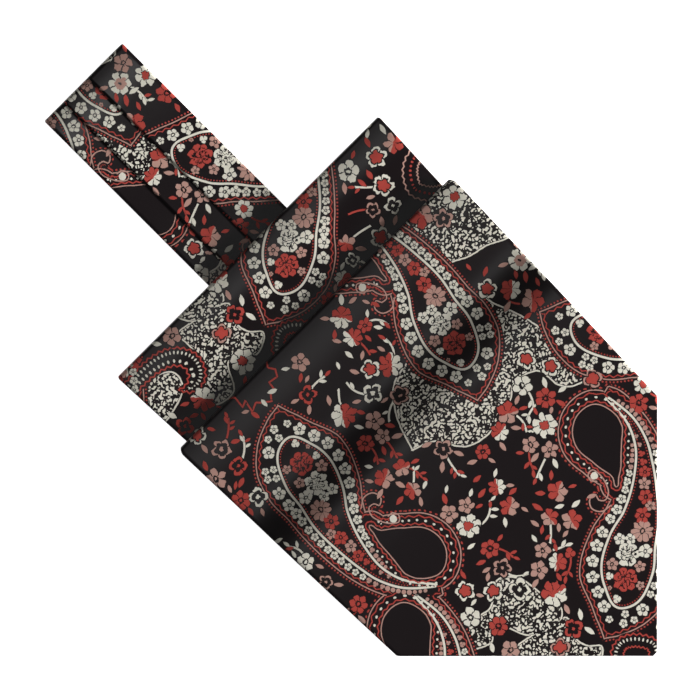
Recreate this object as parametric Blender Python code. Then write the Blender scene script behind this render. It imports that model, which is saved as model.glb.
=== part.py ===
"""Folded ascot scarf: a pleated neckband loop under two wide blades, all lying flat.

Lengths are in metres and +Z is up. The long side runs along Y and the neckband loop points to +Y.
Most sizes are given as a distance from the loop's end, which station() turns into a Y coordinate.
"""
import math

import bmesh
import bpy
import numpy as np

MM = 0.001

# Whole stack
LENGTH = 325.2 * MM
GAP = 0.3 * MM
PLATEAU_TOP = 18.6 * MM
STEP_START = 163.0 * MM
STEP_END = 203.0 * MM
TAPER_START = 236.0 * MM
TAPER_END = 330.0 * MM
TIP_TOP = 12.5 * MM

# Neckband: pleated lengthwise, doubled back as a flat loop
BAND_HALF_WIDTH = 22.3 * MM
BAND_WALL = 1.6 * MM
BAND_TURN_RADIUS = 0.95 * MM
BAND_TURN_RISE = math.radians(10.0)
BAND_CREST = 18.0 * MM
BAND_PRESS_START = 64.0 * MM
BAND_PRESS_END = 92.0 * MM
BAND_END = 183.0 * MM
BAND_CORNER = 1.2 * MM
PLEAT_STEP = 0.5 * MM
PLEAT_FALL = 0.2 * MM
PLEAT_EDGES = (-11.2 * MM, 2.7 * MM)

# Blades: doubled cloth, each turned under in a soft fold
BLADE_WALL = 1.4 * MM
FOLD_RADIUS = 0.85 * MM
FOLD_RISE = math.radians(10.5)
FOLD_CREST = 19.0 * MM
PRESSED_AIR = 0.4 * MM

REAR_FOLD = 93.8 * MM
REAR_TUCK_END = 176.0 * MM
REAR_PRESS_START = 115.0 * MM
REAR_PRESS_END = 131.5 * MM
REAR_CORNER = 1.6 * MM

FRONT_FOLD = 131.8 * MM
FRONT_TUCK_END = 171.0 * MM
FRONT_CORNER = 3.2 * MM

# Half widths of the blades at a few distances from the loop's end
REAR_WIDTHS = ((93.8, 74.4), (132.0, 72.8), (252.0, 72.0))
FRONT_WIDTHS = ((131.8, 77.8), (191.0, 76.0), (252.5, 73.9))

# Pointed ends: both edges run in at 45 degrees and would meet at these distances
FRONT_POINT = 326.4 * MM
REAR_POINT = 323.0 * MM
REAR_TIP = 321.6 * MM

# Hidden layers: low folded ends beside the band, then the full stack
ENDS_START = 106.0 * MM
ENDS_STOP = 180.0 * MM
STACK_START = 182.0 * MM
STACK_TIP = 315.8 * MM
LAYER_GROOVE = 0.7 * MM
BAND_SLOT_CLEARANCE = 0.5 * MM

# How far each hidden layer's edge lies inside the rear blade's edge, from the bottom up
LAYER_INSETS = ((2.4, 3.6), (3.8, 2.2), (2.0, 3.0), (3.4, 4.4), (2.6, 2.0))

COLUMNS = 9


def station(distance):
    """Y coordinate of a distance measured from the end of the neckband loop."""
    return LENGTH / 2.0 - distance


def ease(value, start, end):
    """Step from 0 to 1 whose slope is a raised cosine, steepest half way."""
    u = min(max((value - start) / (end - start), 0.0), 1.0)
    return u - math.sin(2.0 * math.pi * u) / (2.0 * math.pi)


def table_value(table, distance):
    """Straight-line reading of a table whose two columns are in millimetres."""
    places = [row[0] * MM for row in table]
    values = [row[1] * MM for row in table]
    return float(np.interp(distance, places, values))


def fold_start(edge, bottom, wall, radius, rise):
    """Where a soft fold ends and its upper run begins: distance and centre height."""
    centre_s = edge + wall / 2.0 + radius
    centre_z = bottom + wall / 2.0 + radius
    return centre_s - radius * math.sin(rise), centre_z + radius * math.cos(rise)


def fold_arc(edge, bottom, wall, radius, rise, count=9):
    """Centre line of a soft fold, from its underside round to its upper run."""
    centre_s = edge + wall / 2.0 + radius
    centre_z = bottom + wall / 2.0 + radius
    angles = np.linspace(math.radians(270.0), math.radians(90.0) + rise, count)
    return [(centre_s + radius * math.cos(a), centre_z + radius * math.sin(a)) for a in angles]


def crest_height(edge, bottom, wall, radius, rise, crest, distance):
    """Top of the upper run beyond a soft fold: it climbs ever less until the crest."""
    start_s, start_z = fold_start(edge, bottom, wall, radius, rise)
    u = min(max((distance - start_s) / crest, 0.0), 1.0)
    return start_z + math.tan(rise) * crest * (u - u * u / 2.0) + wall / 2.0


BAND_PRESSED_TOP = 2.0 * BAND_WALL + GAP
PLEAT_HEIGHT = 2.0 * PLEAT_STEP - PLEAT_FALL
REAR_BOTTOM = BAND_PRESSED_TOP + PLEAT_HEIGHT + GAP
REAR_PRESSED_TOP = REAR_BOTTOM + 2.0 * BLADE_WALL + PRESSED_AIR
FRONT_BOTTOM = REAR_PRESSED_TOP + GAP


def band_top(distance):
    """Top of the neckband without its pleats."""
    free = crest_height(0.0, 0.0, BAND_WALL, BAND_TURN_RADIUS, BAND_TURN_RISE, BAND_CREST, distance)
    pressed = ease(distance, BAND_PRESS_START, BAND_PRESS_END)
    return free + (BAND_PRESSED_TOP - free) * pressed


def front_top(distance):
    """Top of the front blade: crest, step up on to the stack, then the slope down to the point."""
    free = crest_height(FRONT_FOLD, FRONT_BOTTOM, BLADE_WALL, FOLD_RADIUS, FOLD_RISE, FOLD_CREST, distance)
    raised = free + (PLATEAU_TOP - free) * ease(distance, STEP_START, STEP_END)
    drop = (PLATEAU_TOP - TIP_TOP) * ease(distance, TAPER_START, TAPER_END)
    return raised - drop


def rear_top(distance):
    """Top of the rear blade, pressed flat under the front fold and then lying inside the front blade."""
    free = crest_height(REAR_FOLD, REAR_BOTTOM, BLADE_WALL, FOLD_RADIUS, FOLD_RISE, FOLD_CREST, distance)
    pressed = free + (REAR_PRESSED_TOP - free) * ease(distance, REAR_PRESS_START, REAR_PRESS_END)
    inside = PLATEAU_TOP - BLADE_WALL - GAP
    return pressed + (inside - pressed) * ease(distance, STEP_START, STEP_END)


def below(top, depth, distances):
    """Points of a line that runs at a depth under a top line, measured square to it."""
    heights = np.array([top(d) for d in distances])
    slopes = np.array([(top(d + 0.2 * MM) - top(d - 0.2 * MM)) / (0.4 * MM) for d in distances])
    lean = np.sqrt(1.0 + slopes ** 2)
    return [(d + depth * m / n, h - depth / n) for d, h, m, n in zip(distances, heights, slopes, lean)]


def path_normals(path):
    """Unit normals of a centre line, on the left when walking along it."""
    points = np.array(path)
    along = np.gradient(points, axis=0)
    along /= np.linalg.norm(along, axis=1)[:, None]
    return points, np.stack([-along[:, 1], along[:, 0]], axis=1)


def corner_trim(distance, edge, radius):
    """How much a rounded corner narrows the cloth close to a fold's edge."""
    d = min(max(distance - edge, 0.0), radius)
    return radius - math.sqrt(max(radius ** 2 - (radius - d) ** 2, 0.0))


def ribbon(name, path, wall, half_width, relief=None, columns=None):
    """Closed cloth strip along a centre line, with rounded side edges."""
    columns = np.linspace(-1.0, 1.0, COLUMNS) if columns is None else np.array(columns)
    points, normals = path_normals(path)
    rings = []
    for (s, z), (ns, nz) in zip(points, normals):
        half = half_width(s, z)
        flat = half - wall / 2.0
        ring = []
        for c in columns:
            lift = relief(c * flat, nz) if relief else 0.0
            ring.append((c * flat, s + ns * (wall / 2.0 + lift), z + nz * (wall / 2.0 + lift)))
        ring.append((half, s, z))
        for c in reversed(columns):
            ring.append((c * flat, s - ns * wall / 2.0, z - nz * wall / 2.0))
        ring.append((-half, s, z))
        rings.append(ring)
    return solid_from_rings(name, rings)


def solid_from_rings(name, rings):
    """Mesh object lofted through rings of equal length and closed at both ends."""
    mesh = bmesh.new()
    rows = [[mesh.verts.new((x, station(s), z)) for x, s, z in ring] for ring in rings]
    size = len(rows[0])
    for row, following in zip(rows, rows[1:]):
        for i in range(size):
            j = (i + 1) % size
            mesh.faces.new((row[i], row[j], following[j], following[i]))
    mesh.faces.new(rows[0])
    mesh.faces.new(list(reversed(rows[-1])))
    bmesh.ops.recalc_face_normals(mesh, faces=mesh.faces)
    data = bpy.data.meshes.new(name)
    mesh.to_mesh(data)
    mesh.free()
    return bpy.data.objects.new(name, data)


def pleat_relief(x, upward):
    """Height of the lengthwise pleats on the band's upper run, each panel lapping the one before."""
    if upward < 0.2:
        return 0.0
    share = min((upward - 0.2) / 0.6, 1.0)
    first, second = PLEAT_EDGES
    if x < first:
        return 0.0
    if x < second:
        return share * (PLEAT_STEP - PLEAT_FALL * (x - first) / (second - first))
    fall = PLEAT_FALL * (x - second) / (BAND_HALF_WIDTH - second)
    return share * (2.0 * PLEAT_STEP - PLEAT_FALL - fall)


def material(name, colour, roughness):
    """Plain material with a base colour and a roughness."""
    made = bpy.data.materials.new(name)
    made.use_nodes = True
    shader = made.node_tree.nodes["Principled BSDF"]
    shader.inputs["Base Color"].default_value = (*colour, 1.0)
    shader.inputs["Roughness"].default_value = roughness
    return made


def neckband():
    """Loop of pleated band: lower run on the ground, turn, upper run."""
    lower = [(d, BAND_WALL / 2.0) for d in (*np.linspace(BAND_END, 12.0 * MM, 6), 3.6 * MM, 2.4 * MM)]
    arc = fold_arc(0.0, 0.0, BAND_WALL, BAND_TURN_RADIUS, BAND_TURN_RISE)
    first = fold_start(0.0, 0.0, BAND_WALL, BAND_TURN_RADIUS, BAND_TURN_RISE)[0]
    places = np.concatenate([np.linspace(first + 0.4 * MM, 20.0 * MM, 8),
                             np.linspace(40.0 * MM, BAND_PRESS_START, 3),
                             np.linspace(68.0 * MM, BAND_PRESS_END, 8),
                             np.linspace(120.0 * MM, BAND_END, 3)])
    upper = below(band_top, BAND_WALL / 2.0, places)
    flat = BAND_HALF_WIDTH - BAND_WALL / 2.0
    edge_a, edge_b = (e / flat for e in PLEAT_EDGES)
    nudge = 0.008
    columns = (-1.0, edge_a - nudge, edge_a, (edge_a + edge_b) / 2.0, edge_b - nudge, edge_b, 0.5, 1.0)

    def half_width(distance, _height):
        return BAND_HALF_WIDTH - corner_trim(distance, 0.0, BAND_CORNER)

    def relief(x, upward):
        return pleat_relief(x + 0.01 * MM, upward)

    return ribbon("neckband", lower + arc + upper, BAND_WALL, half_width, relief, columns)


def rear_blade():
    """Rear blade: tuck, soft fold, upper run, point."""
    tuck_z = REAR_BOTTOM + BLADE_WALL / 2.0
    tuck = [(d, tuck_z) for d in (*np.linspace(REAR_TUCK_END, REAR_FOLD + 8.0 * MM, 5), REAR_FOLD + 3.0 * MM)]
    arc = fold_arc(REAR_FOLD, REAR_BOTTOM, BLADE_WALL, FOLD_RADIUS, FOLD_RISE)
    first = fold_start(REAR_FOLD, REAR_BOTTOM, BLADE_WALL, FOLD_RADIUS, FOLD_RISE)[0]
    near = np.concatenate([np.linspace(first + 0.4 * MM, REAR_PRESS_START, 10),
                           np.linspace(118.0 * MM, REAR_PRESS_END, 6),
                           np.linspace(148.0 * MM, STEP_START, 2),
                           np.linspace(166.0 * MM, STEP_END, 13)])
    upper = below(rear_top, BLADE_WALL / 2.0, near)
    inside = np.concatenate([np.linspace(225.0 * MM, TAPER_START, 2), np.linspace(251.0 * MM, REAR_TIP, 10)])
    upper += below(front_top, 1.5 * BLADE_WALL + GAP, inside)

    def half_width(distance, _height):
        full = table_value(REAR_WIDTHS, distance) - corner_trim(distance, REAR_FOLD, REAR_CORNER)
        return min(full, REAR_POINT - distance)

    return ribbon("rear_blade", tuck + arc + upper, BLADE_WALL, half_width)


def front_blade():
    """Front blade: tuck, soft fold, upper run, point."""
    places = (*np.linspace(FRONT_TUCK_END, STEP_START, 4), 150.0 * MM,
              FRONT_FOLD + 8.0 * MM, FRONT_FOLD + 4.2 * MM, FRONT_FOLD + 2.6 * MM)
    tuck = [(d, rear_top(d) + GAP * 1.1 + BLADE_WALL / 2.0) for d in places]
    tuck = [(d, max(z, FRONT_BOTTOM + BLADE_WALL / 2.0)) for d, z in tuck]
    arc = fold_arc(FRONT_FOLD, FRONT_BOTTOM, BLADE_WALL, FOLD_RADIUS, FOLD_RISE)
    first = fold_start(FRONT_FOLD, FRONT_BOTTOM, BLADE_WALL, FOLD_RADIUS, FOLD_RISE)[0]
    near = np.concatenate([np.linspace(first + 0.4 * MM, first + 3.4 * MM, 4),
                           np.linspace(first + 5.4 * MM, 153.0 * MM, 7),
                           np.linspace(158.0 * MM, STEP_START, 2),
                           np.linspace(166.0 * MM, STEP_END, 13),
                           np.linspace(225.0 * MM, TAPER_START, 2),
                           np.linspace(252.5 * MM, LENGTH, 12)])
    upper = below(front_top, BLADE_WALL / 2.0, near)

    def half_width(distance, _height):
        full = table_value(FRONT_WIDTHS, distance) - corner_trim(distance, FRONT_FOLD, FRONT_CORNER)
        return min(full, FRONT_POINT - distance)

    return ribbon("front_blade", tuck + arc + upper, BLADE_WALL, half_width)


def hidden_section(distance, bottom, top):
    """Ring across the hidden stack, with one rounded bulge for each layer on either side."""
    half = min(table_value(REAR_WIDTHS, distance), REAR_POINT - distance)
    thick = (top - bottom) / len(LAYER_INSETS)
    sides = ([], [])
    for i, insets in enumerate(LAYER_INSETS):
        for side, inset in zip(sides, insets):
            edge = half - inset * MM
            side.append((edge - LAYER_GROOVE, distance, bottom + thick * i))
            side.append((edge, distance, bottom + thick * (i + 0.25)))
            side.append((edge, distance, bottom + thick * (i + 0.75)))
    for side, inset in zip(sides, LAYER_INSETS[-1]):
        side.append((half - inset * MM - LAYER_GROOVE, distance, top))
    right, left = sides
    return right + [(-x, s, z) for x, s, z in reversed(left)]


def hidden_layers():
    """Everything folded out of sight: low folded ends first, then the stack up to the rear blade."""
    ends_top = BAND_PRESSED_TOP + PLEAT_HEIGHT
    ground = BLADE_WALL + GAP

    def stack_top(distance):
        return float(np.interp(distance, *zip(*below(rear_top, ground, np.linspace(0.17, 0.22, 60)))))

    rows = [(ENDS_START, 0.6 * MM, ends_top - 0.6 * MM),
            (ENDS_START + 1.2 * MM, 0.0, ends_top),
            (ENDS_STOP, 0.0, ends_top),
            (STACK_START, 0.0, stack_top(STACK_START) - 1.0 * MM),
            (STACK_START + 1.5 * MM, 0.0, stack_top(STACK_START + 1.5 * MM) - 0.2 * MM)]
    rows += [(d, 0.0, stack_top(d)) for d in np.linspace(187.0 * MM, STEP_END, 7)]
    under = np.concatenate([np.linspace(225.0 * MM, TAPER_START, 2), np.linspace(251.0 * MM, STACK_TIP, 9)])
    rows += [(s, 0.0, z) for s, z in below(front_top, 2.0 * ground, under)]
    return solid_from_rings("hidden_layers", [hidden_section(*row) for row in rows])


def band_slot(target, cutters):
    """Channel between the low folded ends for the neckband."""
    half = BAND_HALF_WIDTH + BAND_SLOT_CLEARANCE
    start, end = ENDS_START - 5.0 * MM, BAND_END + BAND_SLOT_CLEARANCE
    low, high = -2.0 * MM, BAND_PRESSED_TOP + PLEAT_HEIGHT + 0.6 * MM
    rings = [[(-half, s, low), (half, s, low), (half, s, high), (-half, s, high)] for s in (start, end)]
    cutter = solid_from_rings("band_slot_cutter", rings)
    cutter.hide_render = True
    cutter.display_type = "WIRE"
    cutters.objects.link(cutter)
    cut = target.modifiers.new("band_slot", "BOOLEAN")
    cut.operation = "DIFFERENCE"
    cut.solver = "EXACT"
    cut.object = cutter


def build():
    for thing in list(bpy.data.objects):
        bpy.data.objects.remove(thing)
    parts = bpy.data.collections.new("ascot_scarf")
    cutters = bpy.data.collections.new("cutters")
    bpy.context.scene.collection.children.link(parts)
    bpy.context.scene.collection.children.link(cutters)
    pieces = ((neckband(), material("neckband_cloth", (0.030, 0.026, 0.030), 0.55)),
              (rear_blade(), material("rear_blade_cloth", (0.048, 0.040, 0.042), 0.55)),
              (front_blade(), material("front_blade_cloth", (0.080, 0.066, 0.066), 0.55)),
              (hidden_layers(), material("hidden_cloth", (0.020, 0.018, 0.021), 0.70)))
    for piece, finish in pieces:
        piece.data.materials.append(finish)
        parts.objects.link(piece)
    band_slot(parts.objects["hidden_layers"], cutters)


build()
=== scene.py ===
# %% [markdown]
# # A folded ascot scarf
# An ascot is one long strip of printed satin: two wide pointed blades joined by a pleated neckband.
# Here it lies folded as in a shop. The neckband makes a flat loop, and the two blades lie over it, each
# turned under in a soft fold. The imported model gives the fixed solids. This lesson dresses them in cloth.

# %% Load the fixed model
import math
from functools import partial

import bpy
import numpy as np
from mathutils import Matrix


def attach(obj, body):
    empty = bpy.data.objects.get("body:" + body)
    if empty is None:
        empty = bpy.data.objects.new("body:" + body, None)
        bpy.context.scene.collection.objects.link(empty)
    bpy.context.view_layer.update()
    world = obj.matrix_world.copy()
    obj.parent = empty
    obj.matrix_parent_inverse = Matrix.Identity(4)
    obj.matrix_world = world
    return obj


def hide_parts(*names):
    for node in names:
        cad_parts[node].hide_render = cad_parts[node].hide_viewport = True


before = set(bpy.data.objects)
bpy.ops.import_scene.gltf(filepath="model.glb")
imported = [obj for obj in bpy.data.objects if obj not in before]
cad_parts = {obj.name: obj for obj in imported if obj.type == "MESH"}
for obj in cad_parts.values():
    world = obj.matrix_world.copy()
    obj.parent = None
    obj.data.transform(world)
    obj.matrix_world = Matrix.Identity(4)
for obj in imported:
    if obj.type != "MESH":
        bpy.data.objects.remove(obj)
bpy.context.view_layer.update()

# %% [markdown]
# ## Camera
# The photograph looks straight down with the scarf turned 45 degrees. A long lens from far away keeps the
# sides parallel, as a shop's camera does. The view is 281 mm wide at the height of the cloth.

# %% Camera
MM = 0.001
LENGTH = 325.2 * MM
VIEW_WIDTH = 281.35 * MM
VIEW_HEIGHT = 4.0
CLOTH_HEIGHT = 10.0 * MM
VIEW_PLACE = (-0.3 * MM, 152.3 * MM)


def station(distance):
    """Y coordinate of a distance measured from the end of the neckband loop."""
    return LENGTH / 2.0 - distance


camera = bpy.data.objects.new("camera", bpy.data.cameras.new("camera"))
camera.data.sensor_width = 36.0
camera.data.lens = 36.0 * VIEW_HEIGHT / VIEW_WIDTH
camera.data.clip_end = 20.0
camera.location = (VIEW_PLACE[0], station(VIEW_PLACE[1]), CLOTH_HEIGHT + VIEW_HEIGHT)
camera.rotation_euler = (0.0, 0.0, math.radians(-45.0))
bpy.context.scene.collection.objects.link(camera)
bpy.context.scene.camera = camera
print("lens in mm:", round(camera.data.lens, 1))

# %% [markdown]
# ## The lines that the cloth follows
# Seen from the side, each piece is one line: a tuck, a round fold, and an upper run that climbs to a soft
# crest, settles again, and steps up on to the layers beneath. The lines start from the solids' sizes. A few
# slopes are eased by up to 2.5 mm, so that the light falls on them as in the photograph. A raised cosine
# makes every step start and stop softly.

# %% Sizes of the folds
GAP = 0.3 * MM
PLATEAU_TOP, TIP_TOP = 18.6 * MM, 15.0 * MM
STEP_START, STEP_END = 163.0 * MM, 203.0 * MM
TAPER_START, TAPER_END, TAPER_BEND = 218.0 * MM, 330.0 * MM, 1.3
BAND_HALF_WIDTH, BAND_WALL, BAND_TURN_RADIUS = 22.3 * MM, 1.6 * MM, 0.95 * MM
BAND_TURN_RISE, BAND_CREST = math.radians(8.5), 18.0 * MM
BAND_PRESS_START, BAND_PRESS_END, BAND_END = 20.0 * MM, 86.0 * MM, 183.0 * MM
BAND_CORNER = 1.2 * MM
PLEAT_STEP, PLEAT_FALL = 0.5 * MM, 0.2 * MM
PLEAT_EDGES = (-11.2 * MM, 2.7 * MM)
BLADE_WALL, FOLD_RADIUS = 1.4 * MM, 0.85 * MM
FOLD_RISE, FOLD_CREST, PRESSED_AIR = math.radians(8.5), 19.0 * MM, 0.4 * MM
REAR_FOLD, REAR_TUCK_END = 93.8 * MM, 176.0 * MM
REAR_PRESS_START, REAR_PRESS_END, REAR_CORNER = 98.0 * MM, 126.0 * MM, 1.6 * MM
FRONT_FOLD, FRONT_TUCK_END, FRONT_CORNER = 131.8 * MM, 171.0 * MM, 3.2 * MM
REAR_WIDTHS = ((93.8, 74.4), (132.0, 72.8), (252.0, 72.0))
FRONT_WIDTHS = ((131.8, 77.8), (191.0, 76.0), (252.5, 73.9))
FRONT_POINT, REAR_POINT, REAR_TIP = 326.4 * MM, 323.0 * MM, 321.6 * MM
BAND_PRESSED_TOP = 2.0 * BAND_WALL + GAP
PLEAT_HEIGHT = 2.0 * PLEAT_STEP - PLEAT_FALL
REAR_BOTTOM = BAND_PRESSED_TOP + PLEAT_HEIGHT + GAP
REAR_PRESSED_TOP = REAR_BOTTOM + 2.0 * BLADE_WALL + PRESSED_AIR
FRONT_BOTTOM = REAR_PRESSED_TOP + GAP


# %% Heights along the scarf
def ease(value, start, end):
    """Step from 0 to 1 whose slope is a raised cosine, steepest half way."""
    u = np.clip((value - start) / (end - start), 0.0, 1.0)
    return u - np.sin(2.0 * np.pi * u) / (2.0 * np.pi)


def table_value(table, distance):
    """Straight-line reading of a table whose two columns are in millimetres."""
    places, values = np.array(table).T * MM
    return np.interp(distance, places, values)


def fold_start(edge, bottom, wall, radius, rise):
    """Where a soft fold ends and its upper run begins: distance and centre height."""
    return (edge + wall / 2.0 + radius - radius * math.sin(rise),
            bottom + wall / 2.0 + radius + radius * math.cos(rise))


def crest_height(edge, bottom, wall, radius, rise, crest, distance):
    """Top of the upper run beyond a soft fold: it climbs ever less until the crest."""
    start_s, start_z = fold_start(edge, bottom, wall, radius, rise)
    u = np.clip((distance - start_s) / crest, 0.0, 1.0)
    return start_z + math.tan(rise) * crest * (u - u * u / 2.0) + wall / 2.0


def band_top(distance):
    """Top of the neckband without its pleats."""
    free = crest_height(0.0, 0.0, BAND_WALL, BAND_TURN_RADIUS, BAND_TURN_RISE, BAND_CREST, distance)
    return free + (BAND_PRESSED_TOP - free) * ease(distance, BAND_PRESS_START, BAND_PRESS_END)


def front_top(distance):
    """Top of the front blade: crest, step up on to the stack, then the slope down to the point."""
    free = crest_height(FRONT_FOLD, FRONT_BOTTOM, BLADE_WALL, FOLD_RADIUS, FOLD_RISE, FOLD_CREST, distance)
    raised = free + (PLATEAU_TOP - free) * ease(distance, STEP_START, STEP_END)
    taper = np.clip((distance - TAPER_START) / (TAPER_END - TAPER_START), 0.0, 1.0) ** TAPER_BEND
    return raised - (PLATEAU_TOP - TIP_TOP) * taper


def rear_top(distance):
    """Top of the rear blade, pressed flat under the front fold and then lying inside the front blade."""
    free = crest_height(REAR_FOLD, REAR_BOTTOM, BLADE_WALL, FOLD_RADIUS, FOLD_RISE, FOLD_CREST, distance)
    pressed = free + (REAR_PRESSED_TOP - free) * ease(distance, REAR_PRESS_START, REAR_PRESS_END)
    return pressed + (PLATEAU_TOP - BLADE_WALL - GAP - pressed) * ease(distance, STEP_START, STEP_END)


def below(top, depth, distances):
    """Points of a line that runs at a depth under a top line, measured square to it."""
    slope = (top(distances + 0.2 * MM) - top(distances - 0.2 * MM)) / (0.4 * MM)
    lean = np.sqrt(1.0 + slope ** 2)
    return np.stack([distances + depth * slope / lean, top(distances) - depth / lean], axis=1)


def fold_arc(edge, bottom, wall, radius, rise, count=15):
    """Centre line of a soft fold, from its underside round to its upper run."""
    a = np.linspace(math.radians(270.0), math.radians(90.0) + rise, count)
    return np.stack([edge + wall / 2.0 + radius + radius * np.cos(a),
                     bottom + wall / 2.0 + radius + radius * np.sin(a)], axis=1)


print("height of the front blade at its crest, plateau and tip, in mm:",
      [round(float(front_top(d * MM)) * 1000, 1) for d in (151.0, 220.0, 325.0)])

# %% [markdown]
# ## The print
# The cloth carries an ordinary floral paisley, screen printed in cream, red and dusty pink on black. Real
# printed satin is designed once and cut many times, so one design is drawn here in millimetres, and every
# piece of the scarf takes its own part of it. A design is drawn from a few curves: the boteh, which is the
# bent drop of a paisley, its cream inner line, and a plain black drop in its bend. Each is a spine with a
# half width along it. Squaring the half widths before they are interpolated gives a round end.


# %% Curves of the design
def smooth_line(rows, count, bunch=False):
    """Catmull-Rom curve through the rows. With bunch, samples crowd towards both ends as a cosine does."""
    rows = np.array(rows, dtype=float)
    t = np.linspace(0.0, 1.0, count)
    t = (0.5 - 0.5 * np.cos(np.pi * t) if bunch else t) * (len(rows) - 1)
    i = np.minimum(t.astype(int), len(rows) - 2)
    f = (t - i)[:, None]
    padded = np.vstack([2.0 * rows[0] - rows[1], rows, 2.0 * rows[-1] - rows[-2]])
    a, b, c, d = (padded[i + k] for k in range(4))
    return 0.5 * (2.0 * b + (c - a) * f + (2.0 * a - 5.0 * b + 4.0 * c - d) * f ** 2
                  + (3.0 * b - a - 3.0 * c + d) * f ** 3)


def spaced(line, step, closed=True):
    """The same line with points at equal steps along it."""
    ends = np.vstack([line, line[:1]]) if closed else line
    walk = np.concatenate([[0.0], np.cumsum(np.linalg.norm(np.diff(ends, axis=0), axis=1))])
    places = np.linspace(0.0, walk[-1], max(int(walk[-1] / step), 4) + 1)
    made = np.stack([np.interp(places, walk, ends[:, k]) for k in (0, 1)], axis=1)
    return made[:-1] if closed else made


def outline(rows, round_ends):
    """Closed outline round a spine: each row is x, y and half width."""
    rows = np.array(rows, dtype=float)
    if round_ends:
        rows[:, 2] **= 2
    fine = smooth_line(rows, 240, bunch=True)
    width = np.sqrt(np.maximum(fine[:, 2], 0.0)) if round_ends else np.maximum(fine[:, 2], 0.0)
    along = np.gradient(fine[:, :2], axis=0)
    along /= np.linalg.norm(along, axis=1)[:, None]
    side = np.stack([-along[:, 1], along[:, 0]], axis=1) * width[:, None]
    return spaced(np.vstack([fine[:, :2] + side, (fine[:, :2] - side)[::-1][1:-1]]), 0.7)


BOTEH_EDGE = outline(((0, 0, 0), (-3, 4.8, 6.5), (-6.5, 11.8, 13.3), (-9, 19.3, 17.8), (-10.8, 28.3, 18.9),
                      (-13, 37.3, 17.3), (-16.5, 47.3, 14.2), (-19, 58.3, 11.3), (-20.1, 69.3, 8.6),
                      (-19.1, 79.3, 6.3), (-15, 88.3, 5.0), (-9.5, 95.3, 4.2), (-5, 98.4, 3.2)), False)
BOTEH_LINE = outline(((-6, 12.1, 0), (-9, 19.3, 8.3), (-10.8, 28.3, 10.5), (-13, 37.3, 9.6), (-17, 47.3, 7.5),
                      (-19, 58.3, 5.2), (-19.6, 69.3, 3.4), (-18.6, 78.3, 2.4), (-14.5, 87.5, 1.5),
                      (-6, 96.6, 0)), True)
DROP_EDGE = outline(((-8.1, 60.6, 0), (-7.6, 66.5, 2.4), (-4.8, 73.5, 6.4), (-2, 81.0, 10.0),
                     (-1, 87.5, 9.0), (-0.5, 94.1, 0)), True)
HOOK = spaced(smooth_line(((-5.4, 53.2), (-1.6, 51.0), (2.2, 52.3), (3.0, 55.8), (0.6, 57.6), (-0.8, 55.6),
                           (-3.4, 55.6), (-4.7, 58.8), (-3.6, 62.6), (-1.6, 65.8), (1.2, 67.8), (3.1, 66.0),
                           (2.2, 63.6), (0.0, 63.2)), 200), 0.5, closed=False)

# %% [markdown]
# A boteh is filled with a bouquet, largest at the head, and a garland of small cream blossoms runs between
# its two lines. The garland is worked out: a blossom every few millimetres along the inner line, half way
# to the outer one, and as large as the room there allows.

# %% Bouquet and garland of one boteh
BOUQUET = ((-9.7, 23.1, 4.9, "red rose"), (-11.2, 33.1, 4.9, "cream rose"), (-17.5, 42.2, 4.5, "pink daisy"),
           (-17.8, 48.6, 3.3, "red flower"), (-21.4, 52.2, 2.1, "pink flower"),
           (-19.6, 55.9, 3.0, "red flower"),
           (-19.3, 61.3, 2.6, "pink flower"), (-19.8, 65.9, 2.5, "red flower"), (-19.3, 70.0, 1.5, "red bud"),
           (-18.9, 73.4, 1.3, "red bud"), (-18.2, 77.0, 1.2, "pink bud"), (-17.0, 80.4, 1.0, "pink bud"),
           (-3.2, 20.1, 2.9, "pink flower"), (-5.9, 15.6, 2.1, "cream bud"), (-18.3, 34.1, 2.9, "blossom"),
           (-15.8, 28.1, 2.3, "pink flower"), (-4.7, 29.6, 2.6, "pink flower"), (-8.2, 39.6, 2.4, "blossom"),
           (-15.6, 20.6, 1.8, "pink flower"), (-3.4, 25.0, 1.6, "cream bud"), (-12.6, 39.4, 2.2, "blossom"))


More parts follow.
